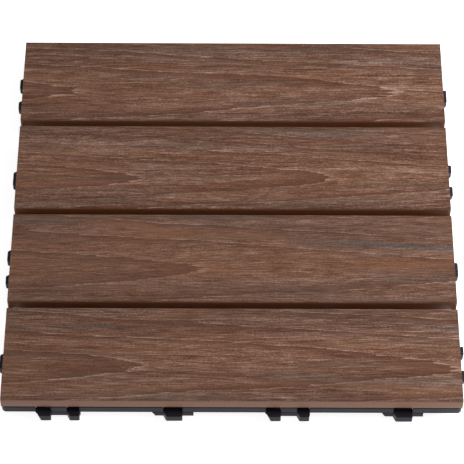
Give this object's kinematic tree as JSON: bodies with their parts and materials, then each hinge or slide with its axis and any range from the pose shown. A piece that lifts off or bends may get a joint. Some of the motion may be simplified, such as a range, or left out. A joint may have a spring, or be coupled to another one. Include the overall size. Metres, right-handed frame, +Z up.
{
  "type": "interlocking deck tile",
  "caption": "Square outdoor floor tile of parallel wood-look boards screwed to a black moulded grid with snap lugs on its edges.",
  "frame": {"origin": "on the floor under the tile's middle, in the plane of the feet", "axes": "+X along the boards, -Y the front edge that the picture shows, +Z up"},
  "size_m": [0.3076, 0.3076, 0.0225],
  "materials": {
    "composite_board": "brushed wood-plastic composite, reddish brown",
    "moulded_base": "satin black injection-moulded polypropylene",
    "screw_steel": "plain stainless steel"
  },
  "bodies": {
    "root": {"base": "moulded_base", "slat_1": "composite_board", "slat_2": "composite_board", "slat_3": "composite_board", "slat_4": "composite_board", "screws": "screw_steel"}
  },
  "joints": []
}
